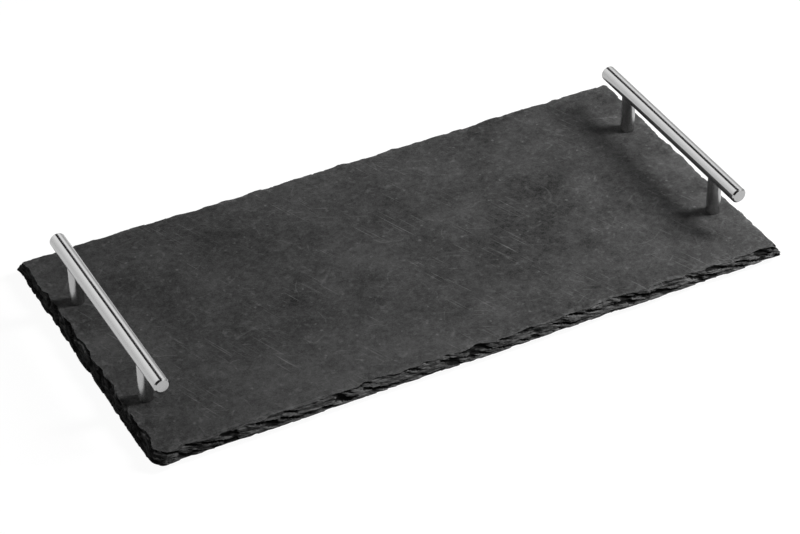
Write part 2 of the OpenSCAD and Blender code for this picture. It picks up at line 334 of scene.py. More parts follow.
def fill(rim, pitch, height, drop):
    """Fills an outline round the holes. Returns inner points, their rim distances, triangles
    and the numbers of the points that the triangles use."""
    tree = tree_of(rim)
    inner = inner_points(tree, pitch)
    flat = [Vector(p[:2]) for p in rim] + [Vector(p) for p in inner]
    n = len(rim)
    borders = [(i, (i + 1) % n) for i in range(n)]
    for h in range(len(hole_centres)):
        first = n + h * HOLE_POINTS
        borders += [(first + j, first + (j + 1) % HOLE_POINTS) for j in range(HOLE_POINTS)]
    made, _, triangles, source, _, _ = delaunay_2d_cdt(flat, borders, [], 1, SAME_POINT)
    keep = []
    for tri in triangles:
        middle = sum((made[i] for i in tri), Vector((0, 0))) / 3
        if min(math.dist(middle, c) for c in hole_centres) > HOLE_RADIUS * INSIDE_HOLE:
            keep.append([source[i][0] for i in tri])
    away = [tree.find((p[0], p[1], 0))[2] for p in inner]
    points = []
    for p, d in zip(inner, away):
        points.append((p[0], p[1], height - drop * max(0, 1 - d / RIM_FALL) ** 2))
    used = {i for tri in keep for i in tri}
    return points, away, keep, used


print("the face falls by", RIM_DROP / MM, "mm over", RIM_FALL / MM, "mm")

# %% [markdown]
# ## What every point of the edge carries
# The tearing step and the stone's finish need to know where they are: the way into the stone, how
# much a point belongs to the broken edge or to a free part of a flat face, how near the rim it is
# and how far round the edge. Named attributes carry this into both node trees, where texture
# coordinates alone couldn't tell the edge from the face.

# %% The edge as a grid
points = [p for row in edge_rows for p in row]
faces = []
for r in range(len(edge_rows) - 1):
    for j in range(columns):
        k = (j + 1) % columns
        faces.append((r * columns + j, r * columns + k, (r + 1) * columns + k, (r + 1) * columns + j))

strides = np.linalg.norm(np.diff(edge_rows[0][:, :2], axis=0), axis=1)
round_walk = np.concatenate([[0], np.cumsum(strides)])
outward = []
for side in range(4):
    outward += [SIDE_NORMALS[side].astype(float)] * (round(SIDE_LENGTHS[side] / COLUMN_PITCH) + 1)
    angle = np.pi / 2 * (side - 1 + np.arange(1, ARC_STEPS) / ARC_STEPS)
    outward += list(np.column_stack([np.cos(angle), np.sin(angle)]))
inward = [(-o[0], -o[1], 0) for _ in edge_rows for o in outward]
broken = [1.0] * len(points)
near_rim = [1.0] * len(points)
free_face = [0.0] * len(points)
walk = list(round_walk) * len(edge_rows)
print("way round the slab:", round(float(round_walk[-1]), 3), "m")

# %% [markdown]
# ## The two flat faces
# The two filled faces close the grid above and below. They share the rim's points with it, because
# faces that only touched would leave a seam. Points near a post aren't free to dip, because the
# post's foot seats on them.

# %% The two flat faces
POST_REST, BRUISE_REACH, FREE_REACH = 6 * MM, 9 * MM, 4 * MM
TOP_PITCH, UNDERSIDE_PITCH = 3.2 * MM, 8 * MM
hole_rings = []
for rim_row, pitch, height, drop, way in (
        (len(edge_rows) - 1, TOP_PITCH, slab_high[2], RIM_DROP, -1),
        (0, UNDERSIDE_PITCH, slab_low[2], -RIM_DROP, 1)):
    inner, away, triangles, used = fill(edge_rows[rim_row], pitch, height, drop)
    number = {i: rim_row * columns + i for i in range(columns)}
    for i, (p, d) in enumerate(zip(inner, away)):
        if columns + i not in used:
            continue
        number[columns + i] = len(points)
        points.append(p)
        inward.append((0, 0, way))
        broken.append(0.0)
        near_rim.append(max(0, 1 - d / BRUISE_REACH))
        post_gap = min(math.dist(p[:2], c) for c in hole_centres)
        free_face.append(min(1, d / FREE_REACH) * min(1, max(0, post_gap - POST_REST) / POST_REST))
        walk.append(0.0)
    for tri in triangles:
        tri = [number[i] for i in tri]
        faces.append(tri if way < 0 else tri[::-1])
    hole_rings.append([number[columns + i] for i in range(len(hole_centres) * HOLE_POINTS)])
print("points with both faces:", len(points))

# %% [markdown]
# ## Pieces from points and faces
# A mesh is a list of points and a list of faces that name them. Blender's own cubes and cylinders
# know nothing of a real edge or profile, so `new_object` makes each piece from its points, with
# its place in the mesh and the object itself left at the origin.

# %% Making an object
def new_object(name, points, faces):
    mesh = bpy.data.meshes.new(name)
    mesh.from_pydata([tuple(p) for p in points], [], faces)
    mesh.update()
    piece = bpy.data.objects.new(name, mesh)
    bpy.context.scene.collection.objects.link(piece)
    return piece


# %% [markdown]
# ## One closed slab
# Each screw needs a hole. A Boolean modifier could drill them, but the faces already have the
# holes' points, so a strip of walls between them closes the slab to one watertight skin.

# %% The slab's mesh
for h in range(len(hole_centres)):
    for j in range(HOLE_POINTS):
        a, b = h * HOLE_POINTS + j, h * HOLE_POINTS + (j + 1) % HOLE_POINTS
        faces.append((hole_rings[0][a], hole_rings[0][b], hole_rings[1][b], hole_rings[1][a]))

slab = new_object("split_slate_slab", points, faces)
print("slab:", len(points), "points,", len(faces), "faces")

# %% [markdown]
# ## Giving the slab its attributes
# The values gathered so far become named attributes of the mesh, one value for each point. Vertex
# groups could hold single numbers too, but not the way into the stone, which is a vector.

# %% The slab's attributes
for name, kind, key, values in (
        ("inward", "FLOAT_VECTOR", "vector", inward), ("broken", "FLOAT", "value", broken),
        ("free_face", "FLOAT", "value", free_face), ("walk", "FLOAT", "value", walk),
        ("near_rim", "FLOAT", "value", near_rim)):
    layer = slab.data.attributes.new(name, kind, "POINT")
    layer.data.foreach_set(key, np.array(values, dtype=np.float32).ravel())
print("attributes:", ", ".join(layer.name for layer in slab.data.attributes))

# %% [markdown]
# ## Node trees in short lines
# The finishes and the slate's Geometry Nodes are both node trees. A tree joined by hand on the
# screen can't be read as text, so these are written: `put` adds one node, with links for the
# inputs that are sockets and plain values for the others, and `calc` adds one sum.

# %% Nodes and sums
def put(tree, kind, inputs=None, **settings):
    node = tree.nodes.new(kind)
    for key, value in settings.items():
        setattr(node, key, value)
    for key, value in (inputs or {}).items():
        if isinstance(value, bpy.types.NodeSocket):
            tree.links.new(value, node.inputs[key])
        else:
            node.inputs[key].default_value = value
    return node


def calc(tree, operation, *values):
    return put(tree, "ShaderNodeMath", dict(enumerate(values)), operation=operation).outputs[0]


print("node helpers:", put.__name__, calc.__name__)

# %% [markdown]
# ## What slate is like
# Slate is a dark grey stone with a matt, faintly silky face. Its tone drifts in clouds from
# 3 to 60 mm wide, it is dusted with fine mica grain, and use leaves thin pale scratches, specks
# and smudges, with bruises near the rim. A picture laid on the sheet would blur when seen from
# near, so each of these marks is a noise of its real size. Every finish starts with the same
# nodes: coordinates, a shader and an output.

# %% Starting a finish
def new_material(name):
    material = bpy.data.materials.new(name)
    material.use_nodes = True
    tree = material.node_tree
    tree.nodes.clear()
    where = tree.nodes.new("ShaderNodeTexCoord").outputs["Object"]
    shader = tree.nodes.new("ShaderNodeBsdfPrincipled")
    put(tree, "ShaderNodeOutputMaterial", {"Surface": shader.outputs[0]})
    return material, tree, where, shader


def finish_shader(tree, shader, **values):
    """Links what varies over the surface, and sets plain numbers on the shader itself."""
    for key, value in values.items():
        socket = shader.inputs[key.replace("_", " ")]
        if isinstance(value, bpy.types.NodeSocket):
            tree.links.new(value, socket)
        else:
            socket.default_value = value


stone, tree, where, shader = new_material("slate_stone")
print("finish started:", stone.name)

# %% [markdown]
# ## Shares and blobs
# Every mark on the board is a noise, cut off at a level where it starts to show. `noise` gives
# blobs of a real size in metres, `stretched` makes them long, and `spread` fades them in between
# two levels. A hard step at one level would leave jagged marks.

# %% Noise helpers
def spread(tree, value, low, high, to_low=0.0, to_high=1.0):
    """Maps value from the range low to high, smoothly and without going past its ends."""
    node = put(
        tree, "ShaderNodeMapRange",
        {"Value": value, "From Min": low, "From Max": high, "To Min": to_low, "To Max": to_high},
        interpolation_type="SMOOTHSTEP")
    return node.outputs[0]


def noise(tree, vector, size, detail=2.0, roughness=0.5):
    """Noise whose blobs are about `size` metres wide."""
    node = put(
        tree, "ShaderNodeTexNoise",
        {"Vector": vector, "Scale": 1 / size, "Detail": detail, "Roughness": roughness})
    return node.outputs[0]


def stretched(tree, vector, sizes, angle=0.0):
    """Coordinates turned about Z by angle and divided by sizes, so that 1 is one blob."""
    node = put(
        tree, "ShaderNodeMapping",
        {"Vector": vector, "Rotation": (0, 0, angle), "Scale": sizes}, vector_type="TEXTURE")
    return node.outputs[0]


print("noise helpers:", spread.__name__, noise.__name__, stretched.__name__)

# %% [markdown]
# ## Clouds and grain
# The grey of split slate wanders, like the mud that it was pressed from. One noise with more
# detail fades from size to size by one fixed factor, and slate doesn't, so four noises are added:
# clouds, mottling, broad clouds and grain. The two places choose where in the endless noise the
# sheet was cut, and so where its pale and dark clouds lie.

# %% Clouds and grain
CLOUD, MOTTLE, BROAD_CLOUD, GRAIN = 15 * MM, 3 * MM, 60 * MM, 0.7 * MM
CLOUD_PLACE = (0.119, -2.594, -0.705)
BROAD_PLACE = (2.218, -0.312, 1.018)


def cut_from(place):
    """Coordinates moved to another place in the noise."""
    return put(tree, "ShaderNodeVectorMath", {0: where, 1: place}, operation="ADD").outputs[0]


cloud = noise(tree, cut_from(CLOUD_PLACE), CLOUD, detail=6, roughness=0.65)
mottle = noise(tree, where, MOTTLE, detail=4, roughness=0.7)
broad = noise(tree, cut_from(BROAD_PLACE), BROAD_CLOUD, detail=3)
grain = noise(tree, where, GRAIN, detail=3, roughness=0.7)
# each noise, how much it counts, and what it takes off so that it darkens as often as it brightens
DRIFTS = [(cloud, 1.5, 0.75), (mottle, 1.8, 0.95), (broad, 1.6, 0.8), (grain, 2.2, 1.1)]
drift = 0.0
for blobs, amount, middle in DRIFTS:
    drift = calc(tree, "ADD", drift, calc(tree, "MULTIPLY_ADD", blobs, amount, -middle))
print("noises in the stone's tone:", len(DRIFTS))

# %% [markdown]
# ## Scratches
# Knives and crockery leave thin pale scratches, most of them along one way. Drawn lines would
# look alike, so noise is stretched to blobs many times as long as wide, and only their peaks
# show. They lie in patches, because a board is used more in some places than in others.

# %% Scratches
LONG_SCRATCH, SHORT_SCRATCH, SCRATCH_WIDTH = 30 * MM, 16 * MM, 0.6 * MM
LONG_WAY, SHORT_WAY = math.radians(-69), math.radians(-25)
LONG_SHOWS, SHORT_SHOWS, SHORT_AMOUNT = (0.64, 0.75), (0.66, 0.78), 0.8
WORN_PATCH, PATCH_SHOWS = 25 * MM, (0.45, 0.62)


def scratch_lines(length, way):
    """Noise in long thin blobs that lie at the angle `way`."""
    return noise(tree, stretched(tree, where, (length, SCRATCH_WIDTH, length), way), 1, detail=1)


long_scratch = spread(tree, scratch_lines(LONG_SCRATCH, LONG_WAY), *LONG_SHOWS)
short_scratch = scratch_lines(SHORT_SCRATCH, SHORT_WAY)
short_scratch = spread(tree, short_scratch, *SHORT_SHOWS, to_high=SHORT_AMOUNT)
patch = spread(tree, noise(tree, where, WORN_PATCH, detail=3), *PATCH_SHOWS)
scratch = calc(tree, "MULTIPLY", calc(tree, "ADD", long_scratch, short_scratch), patch)
print("scratches up to", LONG_SCRATCH / MM, "mm long")

# %% [markdown]
# ## Specks
# Crumbs of pale mineral show as dots, most of them tiny and a few about 2 mm wide. Placing each
# one by hand would take long, so a Voronoi texture sets one dot in every cell of 8 mm. The cell's
# own random colour draws its size, and the mottling breaks up its outline.

# %% Specks
SPECK_PITCH = 8 * MM
LARGE_DRAW, LEAST_SPECK, LARGEST_SPECK = (0.66, 1), 0.02, 0.15
SPECK_FADE, SPECK_SHOWS = (0.4, 1), (0.4, 0.6)
cells = put(
    tree, "ShaderNodeTexVoronoi", {"Vector": where, "Scale": 1 / SPECK_PITCH},
    voronoi_dimensions="2D")
draw = put(tree, "ShaderNodeSeparateColor", {0: cells.outputs["Color"]}).outputs[0]
speck_size = spread(tree, draw, *LARGE_DRAW, LEAST_SPECK, LARGEST_SPECK)
speck_reach = calc(tree, "DIVIDE", cells.outputs["Distance"], speck_size)
speck = spread(tree, speck_reach, *SPECK_FADE, to_low=1, to_high=0)
speck = calc(tree, "MULTIPLY", speck, spread(tree, mottle, *SPECK_SHOWS))
print("largest speck:", round(2 * LARGEST_SPECK * SPECK_PITCH / MM, 1), "mm wide")

# %% [markdown]
# ## Wisps, smudges and bruises
# Fine curved wisps cross the stone, wiping leaves smudges, and knocks bruise it near the rim. A
# wisp is where a broad noise passes through its middle value, which draws a thin line without a
# curve to model. The bruises read how near the rim a point is, which the slab carries.

# %% Wisps, smudges and bruises
WISP_PITCH, WISP_WIDTH, WISP_PATCH, WISP_SHOWS = 38 * MM, (0.001, 0.012), 9 * MM, (0.45, 0.65)
SMUDGE, SMUDGE_SHOWS = 5 * MM, (0.56, 0.7)
BRUISE, BRUISE_SHOWS = 4 * MM, (0.5, 0.68)
NOISE_MIDDLE = 0.5


def carried(name):
    """What the slab's points carry under a name."""
    return put(tree, "ShaderNodeAttribute", attribute_name=name).outputs["Fac"]


wander = noise(tree, where, WISP_PITCH, detail=2)
off_middle = calc(tree, "ABSOLUTE", calc(tree, "SUBTRACT", wander, NOISE_MIDDLE))
wisp = spread(tree, off_middle, *WISP_WIDTH, to_low=1, to_high=0)
wisp = calc(tree, "MULTIPLY", wisp, spread(tree, noise(tree, where, WISP_PATCH, detail=3), *WISP_SHOWS))
smudge = spread(tree, noise(tree, where, SMUDGE, detail=4, roughness=0.6), *SMUDGE_SHOWS)
bruise = spread(tree, noise(tree, where, BRUISE, detail=3, roughness=0.6), *BRUISE_SHOWS)
bruise = calc(tree, "MULTIPLY", carried("near_rim"), bruise)
# each mark and how much it brightens the stone
MARKS = [(scratch, 1.6), (speck, 1.2), (wisp, 0.6), (smudge, 0.6), (bruise, 1.0)]
light = 0.0
for mark, amount in MARKS:
    light = calc(tree, "MULTIPLY_ADD", mark, amount, light)
tone = calc(tree, "ADD", calc(tree, "ADD", drift, light), 1.0)
print("kinds of pale marks:", len(MARKS))

# %% [markdown]
# ## The layers on the broken edge
# The edge shows the layers end on, so it is streaked along the sheet, and fresh flake faces are
# paler. Both lie at a slant, as the flakes do. Object coordinates would cut the streaks where the
# edge turns a corner, so they read the way walked round the slab. Deep in a tear the colour is
# darkened nearly to black: painted shade for the little light that reaches there.

# %% The broken edge
FLAKE_SLANT = 0.2
STREAK, STREAK_SHOWS, STREAK_TONES = (9 * MM, 0.5 * MM), (0.35, 0.65), (-0.4, 0.4)
FRESH_FACE, FRESH_SHOWS, FRESH_TONES = (10 * MM, 1.1 * MM), (0.42, 0.58), (-0.2, 1.1)
PAINTED_SHADE_FROM, PAINTED_SHADE_DARK = (0.3, 0.6), 0.85
edge_share = carried("broken")
edge_walk = carried("walk")
up = put(tree, "ShaderNodeSeparateXYZ", {0: where}).outputs[2]
layer_height = calc(tree, "MULTIPLY_ADD", edge_walk, FLAKE_SLANT, up)


def layered(long, thick, detail):
    """Noise in flat slanted blobs on the broken edge, long by thick."""
    along = calc(tree, "DIVIDE", edge_walk, long)
    across = calc(tree, "DIVIDE", layer_height, thick)
    spot = put(tree, "ShaderNodeCombineXYZ", {0: along, 1: across}).outputs[0]
    return noise(tree, spot, 1, detail, roughness=0.6)


streaks = layered(*STREAK, detail=3)
fresh_faces = spread(tree, layered(*FRESH_FACE, detail=2), *FRESH_SHOWS, *FRESH_TONES)
edge_tone = calc(tree, "ADD", spread(tree, streaks, *STREAK_SHOWS, *STREAK_TONES), fresh_faces)
tone = calc(tree, "MULTIPLY_ADD", edge_tone, edge_share, tone)
# painted shade: the colour is darkened where the tearing moved points deep into the stone
painted_tear_shade = calc(tree, "MULTIPLY", spread(tree, carried("torn"), *PAINTED_SHADE_FROM), edge_share)
tone = calc(tree, "MULTIPLY", tone, calc(tree, "MULTIPLY_ADD", painted_tear_shade, -PAINTED_SHADE_DARK, 1.0))
print("streaks are", STREAK[1] / MM, "mm thick")

# %% [markdown]
# ## Matt stone
# Stone reflects little, and its broken edge is the dullest part. Grain and streaks are too fine
# for the mesh, so a Bump node shades them like a relief about a tenth of a millimetre deep. The
# specular level is one number for the whole stone, so it is set on the shader itself.

# %% The slate's shader
SLATE_TONE, DARKEST, STONE_SPECULAR = 0.042, 0.06, 0.11
GRAIN_BUMP, SCRATCH_BUMP, STREAK_BUMP = 0.5, -0.6, 1.6
STONE_BUMP, STONE_BUMP_DEPTH = 0.45, 0.12 * MM
FACE_ROUGHNESS, GRAIN_ROUGHNESS, EDGE_ROUGHNESS = 0.42, 0.25, 0.35
tone = calc(tree, "MULTIPLY", calc(tree, "MAXIMUM", tone, DARKEST), SLATE_TONE)
relief = calc(tree, "MULTIPLY", scratch, SCRATCH_BUMP)
relief = calc(tree, "ADD", calc(tree, "MULTIPLY", grain, GRAIN_BUMP), relief)
relief = calc(tree, "MULTIPLY_ADD", streaks, calc(tree, "MULTIPLY", edge_share, STREAK_BUMP), relief)
bump = put(
    tree, "ShaderNodeBump",
    {"Strength": STONE_BUMP, "Distance": STONE_BUMP_DEPTH, "Height": relief})
rough = calc(tree, "MULTIPLY_ADD", grain, GRAIN_ROUGHNESS, FACE_ROUGHNESS)
rough = calc(tree, "MULTIPLY_ADD", edge_share, EDGE_ROUGHNESS, rough)
finish_shader(
    tree, shader, Base_Color=tone, Roughness=rough, Specular_IOR_Level=STONE_SPECULAR,
    Normal=bump.outputs[0])
print("slate's nodes:", len(tree.nodes))

# %% [markdown]
# ## Tearing the layers
# Hammered slate doesn't break cleanly. Thin leaves tear at different depths, so the cliffs are
# ragged at a scale that the CAD model leaves out. Sculpted tears would be lost with every change
# of size, so Geometry Nodes work them out from named sizes and a seed. Points only move inwards,
# so the slab keeps its full size.

# %% The tearing tree's inputs
TEARING = {
    "Leaf Thickness": 0.7 * MM,
    "Tear Depth": 0.35 * MM,
    "Tear Length": 9 * MM,
    "Flake Thickness": 1.3 * MM,
    "Flake Depth": 1.6 * MM,
    "Flake Length": 15 * MM,
    "Flake Slant": FLAKE_SLANT,
    "Grain Depth": 0.08 * MM,
    "Dip Depth": 0.14 * MM,
    "Dip Width": 24 * MM,
    "Seed": 5,
    "Stone": stone,
}
SOCKET_KINDS = {"Seed": "NodeSocketInt", "Stone": "NodeSocketMaterial"}
tree = bpy.data.node_groups.new("tear_layers", "GeometryNodeTree")
tree.interface.new_socket("Geometry", in_out="INPUT", socket_type="NodeSocketGeometry")
for name in TEARING:
    kind = SOCKET_KINDS.get(name, "NodeSocketFloat")
    tree.interface.new_socket(name, in_out="INPUT", socket_type=kind)
tree.interface.new_socket("Geometry", in_out="OUTPUT", socket_type="NodeSocketGeometry")
entry = tree.nodes.new("NodeGroupInput").outputs
print("tearing inputs:", ", ".join(TEARING))

# %% [markdown]
# ## Leaves
# Slate splits into thin leaves. Moving every point by its own random amount would look like fur,
# so the sheet is cut into leaves 0.7 mm thick, a little warped, and each one is torn back by its
# own uneven amount. Rounding the height down gives each leaf a number, and the number picks the
# leaf's own line in the noise, so neighbours tear differently and a step stays between them.

# %% Torn leaves
LEAF_WARP, WARP_WIDTH, LEAF_TEARS = 5.0, 22 * MM, (0.42, 0.62)
LEAF_SHIFT, SEED_SHIFT = 7.31, 3.17


def named(name, kind="FLOAT"):
    return put(tree, "GeometryNodeInputNamedAttribute", {"Name": name}, data_type=kind).outputs[0]


where = tree.nodes.new("GeometryNodeInputPosition").outputs[0]
height = put(tree, "ShaderNodeSeparateXYZ", {0: where}).outputs[2]
seed = calc(tree, "MULTIPLY", entry["Seed"], SEED_SHIFT)


def own_line(number, shift, length):
    """Coordinates along the edge, on the noise line of one leaf or flake."""
    along = calc(tree, "DIVIDE", named("walk"), length)
    line = calc(tree, "MULTIPLY", number, shift)
    return put(tree, "ShaderNodeCombineXYZ", {0: along, 1: line, 2: seed}).outputs[0]


leaves = calc(tree, "DIVIDE", height, entry["Leaf Thickness"])
leaf = calc(tree, "MULTIPLY_ADD", noise(tree, where, WARP_WIDTH, detail=2), LEAF_WARP, leaves)
leaf_line = own_line(calc(tree, "FLOOR", leaf), LEAF_SHIFT, entry["Tear Length"])
torn = spread(tree, noise(tree, leaf_line, 1, detail=2, roughness=0.6), *LEAF_TEARS)
print("leaves in the sheet:", round(float(THICKNESS) / TEARING["Leaf Thickness"]))

# %% [markdown]
# ## Flakes
# The hammer also drives larger flakes off at a slant, and they leave deeper dark gaps. Thicker
# leaves alone would lose the fine ones, so the flakes are added to them. They are numbered like
# the leaves, on a height that climbs along the edge. A last, fine noise makes torn stone grainy.

# %% Slanted flakes
FLAKE_WARP, FLAKE_WARP_WIDTH, FLAKE_TEARS = 1.2, 12 * MM, (0.46, 0.6)
FLAKE_SHIFT, CRUMB = 5.17, 0.6 * MM
slanted = calc(tree, "MULTIPLY_ADD", named("walk"), entry["Flake Slant"], height)
slanted = calc(tree, "DIVIDE", slanted, entry["Flake Thickness"])
flake_warp = noise(tree, where, FLAKE_WARP_WIDTH, detail=2)
flake = calc(tree, "MULTIPLY_ADD", flake_warp, FLAKE_WARP, slanted)
flake_line = own_line(calc(tree, "FLOOR", flake), FLAKE_SHIFT, entry["Flake Length"])
flaked = spread(tree, noise(tree, flake_line, 1, detail=1), *FLAKE_TEARS)
depth = calc(tree, "MULTIPLY", torn, entry["Tear Depth"])
depth = calc(tree, "MULTIPLY_ADD", flaked, entry["Flake Depth"], depth)
crumbs = noise(tree, where, CRUMB, detail=2)
depth = calc(tree, "MULTIPLY_ADD", crumbs, entry["Grain Depth"], depth)
print("deepest tear:", round((TEARING["Tear Depth"] + TEARING["Flake Depth"]) / MM, 2), "mm")

# %% [markdown]
# ## Sound rims and dipping faces
# Over the last millimetre towards the top rim and the foot, the tears fade to less than half their
# depth, because tears of full depth would fray the outline. The flat faces dip by up to 0.14 mm,
# as split stone does, but never under a post, which needs a flat seat.

# %% Where the slab may move
SOUND_FOOT, FOOT_START, FOOT_SHARE = 1.0 * MM, 0.3 * MM, 0.45
SOUND_RIM, RIM_SHARE = 1.0 * MM, 0.4
DIP_SHOWS = (0.25, 0.75)
above = calc(tree, "SUBTRACT", height, float(slab_low[2]))
foot_share = spread(tree, above, FOOT_START, SOUND_FOOT, to_low=FOOT_SHARE)
depth = calc(tree, "MULTIPLY", depth, foot_share)
below = calc(tree, "SUBTRACT", float(slab_high[2]), height)
depth = calc(tree, "MULTIPLY", depth, spread(tree, below, 0, SOUND_RIM, to_low=RIM_SHARE))
depth = calc(tree, "MULTIPLY", depth, named("broken"))
dip_scale = calc(tree, "DIVIDE", 1.0, entry["Dip Width"])
dips = put(tree, "ShaderNodeTexNoise", {"Vector": where, "Scale": dip_scale, "Detail": 3}).outputs[0]
dip = calc(tree, "MULTIPLY", spread(tree, dips, *DIP_SHOWS), entry["Dip Depth"])
depth = calc(tree, "MULTIPLY_ADD", dip, named("free_face"), depth)
print("deepest dip:", round(TEARING["Dip Depth"] / MM, 2), "mm")

# %% [markdown]
# ## Moving the points
# Stone is only ever lost, never added. A Displace modifier pushes along the surface's own normals,
# which would fold the treads over each other. The tree's end moves every point straight into the
# stone instead, and keeps how deep that was, because the finish paints shade into the deep tears.
# Then it gives the slab its stone. Realize Instances stands before that because the export drops
# instances. This tree makes none, so here the node changes nothing.

# %% The tearing tree's end
move = put(
    tree, "ShaderNodeVectorMath", {0: named("inward", "FLOAT_VECTOR"), "Scale": depth},
    operation="SCALE")
moved = put(tree, "GeometryNodeSetPosition", {"Geometry": entry["Geometry"], "Offset": move.outputs[0]})
# how deep each point moved, kept as torn for the finish, which paints shade into the deep tears
deepest = calc(tree, "ADD", entry["Tear Depth"], entry["Flake Depth"])
torn_share = calc(tree, "DIVIDE", depth, deepest)
kept = put(
    tree, "GeometryNodeStoreNamedAttribute",
    {"Geometry": moved.outputs[0], "Name": "torn", "Value": torn_share},
    data_type="FLOAT", domain="POINT")
real = put(tree, "GeometryNodeRealizeInstances", {0: kept.outputs[0]})
dressed = put(tree, "GeometryNodeSetMaterial", {"Geometry": real.outputs[0], "Material": entry["Stone"]})
put(tree, "NodeGroupOutput", {0: dressed.outputs[0]})
print("tearing nodes:", len(tree.nodes))

# %% [markdown]
# ## From modifiers to plain meshes
# A modifier keeps a recipe, but a finished piece is a plain mesh, because the export reads meshes.
# `without_modifiers` keeps what the recipe made. `shade` smooths the look where faces meet at less
# than a sharp angle, and leaves the real edges crisp. Smoothing all of them would blur the cliffs.

# %% Finishing a mesh
SHARP_ANGLE = 35


def without_modifiers(piece):
    """Replaces a piece's mesh with what its modifiers make of it."""
    graph = bpy.context.evaluated_depsgraph_get()
    mesh = bpy.data.meshes.new_from_object(piece.evaluated_get(graph))
    mesh.name = piece.name
    old = piece.data
    piece.modifiers.clear()
    piece.data = mesh
    bpy.data.meshes.remove(old)


def shade(piece, angle=SHARP_ANGLE):
    piece.data.polygons.foreach_set("use_smooth", [True] * len(piece.data.polygons))
    piece.data.set_sharp_from_angle(angle=math.radians(angle))


print("faces meet sharply from", SHARP_ANGLE, "degrees")

# %% [markdown]
# ## Tearing the slab
# The modifier takes its sizes by each socket's identifier, because a name may be changed on the
# screen, and all of them are set before it first runs. A live modifier would do for a picture, but
# its result becomes the slab's plain mesh for the export. Only then does the slab ride on the root
# body and take its CAD node's place.

# %% The torn slab
tearing = slab.modifiers.new("tear_layers", "NODES")
tearing.node_group = tree
for socket in tree.interface.items_tree:
    if socket.in_out == "INPUT" and socket.name in TEARING:
        tearing[socket.identifier] = TEARING[socket.name]
without_modifiers(slab)
shade(slab)
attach(slab, "root")
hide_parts("slate_board")
print("slab after tearing:", len(slab.data.polygons), "faces")

# %% [markdown]
# ## Polished steel
# The handles are stainless steel, polished on a wheel. They mirror the room, softened a little by
# polishing lines too fine to count. Modelled lines would need millions of faces, so a stretched
# noise bends the light instead, and `round_axis` smears what the steel mirrors along the piece,
# which draws long straight stripes on a bar.

# %% Steel
SMEAR = 7 * MM
SMEAR_ROUGH, LEAST_ROUGH, LINE_ROUGH = 0.8, 0.6, 0.3
SMEAR_TONE, LEAST_TONE = 0.1, 0.95
LINE_BUMP, STRIPED, ACROSS = 0.5, 0.95, 0.25


def steel(name, tone, roughness, line_depth, fine_lines, round_axis=None):
    """Steel whose fine lines come from fine_lines(tree, where)."""
    material, tree, where, shader = new_material(name)
    fine = fine_lines(tree, where)
    smear = noise(tree, where, SMEAR, detail=3, roughness=0.6)
    rough = calc(tree, "MULTIPLY_ADD", smear, roughness * SMEAR_ROUGH, roughness * LEAST_ROUGH)
    rough = calc(tree, "MULTIPLY_ADD", fine, roughness * LINE_ROUGH, rough)
    bump = put(
        tree, "ShaderNodeBump", {"Strength": LINE_BUMP, "Distance": line_depth, "Height": fine})
    shine = calc(tree, "MULTIPLY_ADD", smear, tone * SMEAR_TONE, tone * LEAST_TONE)
    finish_shader(tree, shader, Base_Color=shine, Metallic=1.0, Roughness=rough, Normal=bump.outputs[0])
    if round_axis:
        brushed = put(tree, "ShaderNodeTangent", direction_type="RADIAL", axis=round_axis)
        finish_shader(
            tree, shader, Tangent=brushed.outputs[0], Anisotropic=STRIPED, Anisotropic_Rotation=ACROSS)
    return material


print("steel is mottled every", SMEAR / MM, "mm")

# %% [markdown]
# ## Where the bars lie
# Both bars are alike and lie at one height, so the left tube's box gives the radius and the axis
# of both. Each could be measured for itself, but then a finish would have to know which bar it is
# on. The finish of the caps reads the axis, because its rings run round it.

# %% The bars' radius and axis
tube_low, tube_high = box_of("left_bar_tube")
BAR_RADIUS = (tube_high[2] - tube_low[2]) / 2
BAR_AXIS = (tube_high[2] + tube_low[2]) / 2
handle_x = abs(place_of("left_bar_tube")[0])
print("bar radius", BAR_RADIUS, "bar axis", BAR_AXIS, "bars at x = +/-", handle_x)

# %% [markdown]
# ## Lines round a bar and rings on a cap
# A bar and a post are polished while they spin, so their lines run round them. The turned face of
# an end cap has fine rings round its middle. A wave texture would draw them too evenly, so both are
# noise: stretched for the lines, and read by the distance from the bar's axis for the rings.

# %% Lines and rings
TURNED_RING = 0.25 * MM


def lines(*sizes):
    """Straight fine lines; sizes are a line's length along x, y and z."""
    def fine_lines(tree, where):
        return noise(tree, stretched(tree, where, sizes), 1, detail=2, roughness=0.6)

    return fine_lines


def turned_rings(tree, where):
    """Fine rings round the bar's axis, the same at the left and at the right."""
    x, _, z = put(tree, "ShaderNodeSeparateXYZ", {0: where}).outputs
    out = calc(tree, "SUBTRACT", calc(tree, "ABSOLUTE", x), handle_x)
    up = calc(tree, "SUBTRACT", z, BAR_AXIS)
    square = calc(tree, "ADD", calc(tree, "MULTIPLY", out, out), calc(tree, "MULTIPLY", up, up))
    far = put(tree, "ShaderNodeCombineXYZ", {0: calc(tree, "SQRT", square)}).outputs[0]
    return noise(tree, far, TURNED_RING, detail=3, roughness=0.7)


print("rings on a cap are about", TURNED_RING / MM, "mm apart")

# %% [markdown]
# ## Three polished finishes
# Bars and posts are one steel, but they are polished round different axes, and a cap is turned and
# has no long stripes. One finish for all would run its lines the wrong way on most of them, so
# each kind of piece gets its own from `steel`.

